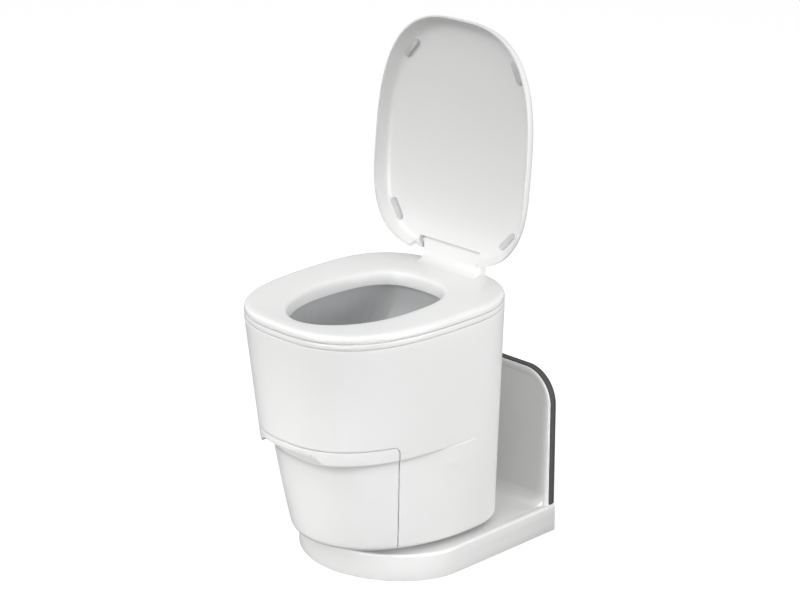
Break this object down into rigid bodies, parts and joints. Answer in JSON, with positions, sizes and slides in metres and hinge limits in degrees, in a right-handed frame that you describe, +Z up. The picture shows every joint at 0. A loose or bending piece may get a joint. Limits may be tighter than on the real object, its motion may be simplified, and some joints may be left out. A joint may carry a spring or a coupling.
{
  "type": "bag-sealing toilet",
  "caption": "Free-standing toilet whose liner is sealed by heated jaws under the bowl, on a turning base with a back panel, with a lifting lid and seat, a pull-off door and a waste bin.",
  "frame": {"origin": "on the floor, on the axis that the body turns about", "axes": "+Z up, -Y towards the front of the toilet, +X towards its left side as its user sits"},
  "size_m": [0.385, 0.532, 0.9741],
  "materials": {
    "shell_white": "smooth white moulded plastic",
    "seat_white": "smooth white moulded plastic",
    "base_white": "smooth off-white plastic",
    "grey_plastic": "matt mid grey plastic",
    "bowl_grey": "smooth grey plastic",
    "dark_plastic": "matt charcoal plastic",
    "seal_rubber": "matt dark grey rubber",
    "pad_rubber": "matt light grey rubber",
    "silicone": "matt red brown silicone",
    "steel": "brushed steel",
    "painted_steel": "grey powder coat",
    "alloy": "milled aluminium",
    "liner": "thin satin film",
    "bag": "thin crinkled film",
    "board": "green solder mask",
    "magnet": "black coated magnet",
    "motor_can": "black coated steel"
  },
  "bodies": {
    "base": {"base_stand": "base_white", "panel_seal": "seal_rubber", "power_inlet": "dark_plastic", "slide_ring": "grey_plastic", "swivel_spindle": "steel", "spindle_nut": "steel"},
    "body": {"turntable": "steel", "detent_plunger": "steel", "chassis": "painted_steel", "rear_casing": "shell_white", "casing_screws": "steel", "door_frame": "grey_plastic", "door_magnets": "magnet", "top_frame": "shell_white", "frame_screws": "steel", "seat_pins": "steel", "bowl": "bowl_grey", "film_cassette": "liner", "liner_film": "liner", "sealer_frame": "painted_steel", "fixed_jaw": "alloy", "heater_bar": "steel", "guide_rods": "steel", "motor_bracket": "steel", "jaw_motor": "motor_can", "feed_motor": "motor_can", "control_board": "board", "board_posts": "steel", "bin_runners": "grey_plastic", "button_bezel": "grey_plastic", "button_switch": "dark_plastic"},
    "door": {"front_door": "shell_white", "door_strikers": "steel"},
    "bin": {"waste_bin": "dark_plastic", "bin_handle": "grey_plastic", "bin_bag": "bag"},
    "seat": {"seat": "seat_white", "seat_buffers": "pad_rubber"},
    "lid": {"lid": "seat_white", "lid_bumpers": "pad_rubber", "lid_pin": "steel"},
    "jaw": {"moving_jaw": "alloy", "jaw_pad": "silicone", "jaw_racks": "steel"},
    "jaw_shaft": {"pinion_shaft": "steel", "pinions": "steel", "drive_gear": "grey_plastic"},
    "motor_rotor": {"motor_gear": "steel"},
    "feed": {"feed_roller": "dark_plastic", "feed_gear": "grey_plastic"},
    "pinch": {"pinch_roller": "dark_plastic", "pinch_gear": "grey_plastic"},
    "button": {"start_button": "shell_white"}
  },
  "joints": [
    {"name": "swivel", "type": "hinge", "parent": "base", "child": "body", "pos_m": [0, 0, 0.06], "axis": [0, 0, 1], "range_deg": [-90, 90]},
    {"name": "door_pull", "type": "slide", "parent": "body", "child": "door", "axis": [0, -1, 0], "range_m": [0, 0.2]},
    {"name": "bin_slide", "type": "slide", "parent": "body", "child": "bin", "axis": [0, -1, 0], "range_m": [0, 0.16]},
    {"name": "seat_lift", "type": "hinge", "parent": "body", "child": "seat", "pos_m": [0, 0.1926, 0.4894], "axis": [-1, 0, 0], "range_deg": [0, 80]},
    {"name": "lid_swing", "type": "hinge", "parent": "seat", "child": "lid", "pos_m": [0, 0.1775, 0.54], "axis": [-1, 0, 0], "range_deg": [-95.5, 0]},
    {"name": "jaw_slide", "type": "slide", "parent": "body", "child": "jaw", "axis": [0, 1, 0], "range_m": [0, 0.036]},
    {"name": "shaft_turn", "type": "hinge", "parent": "body", "child": "jaw_shaft", "pos_m": [0, 0.01, 0.284], "axis": [1, 0, 0], "range_deg": [0, 172]},
    {"name": "rotor_turn", "type": "hinge", "parent": "body", "child": "motor_rotor", "pos_m": [0, 0.043, 0.284], "axis": [1, 0, 0], "range_deg": [-369, 0]},
    {"name": "feed_turn", "type": "hinge", "parent": "body", "child": "feed", "pos_m": [0, -0.0285, 0.208], "axis": [1, 0, 0], "continuous": true},
    {"name": "pinch_turn", "type": "hinge", "parent": "body", "child": "pinch", "pos_m": [0, -0.0515, 0.208], "axis": [1, 0, 0], "continuous": true},
    {"name": "button_press", "type": "slide", "parent": "body", "child": "button", "axis": [1, 0, 0], "range_m": [0, 0.002], "stiffness_N_per_m": 900, "springref_m": -0.001}
  ],
  "couplings": [
    {"joint": "bin_slide", "follows": "door_pull", "ratio": 0.8},
    {"joint": "shaft_turn", "follows": "jaw_slide", "rad_per_m": 83.333},
    {"joint": "rotor_turn", "follows": "jaw_slide", "rad_per_m": -178.57},
    {"joint": "pinch_turn", "follows": "feed_turn", "ratio": -1}
  ]
}
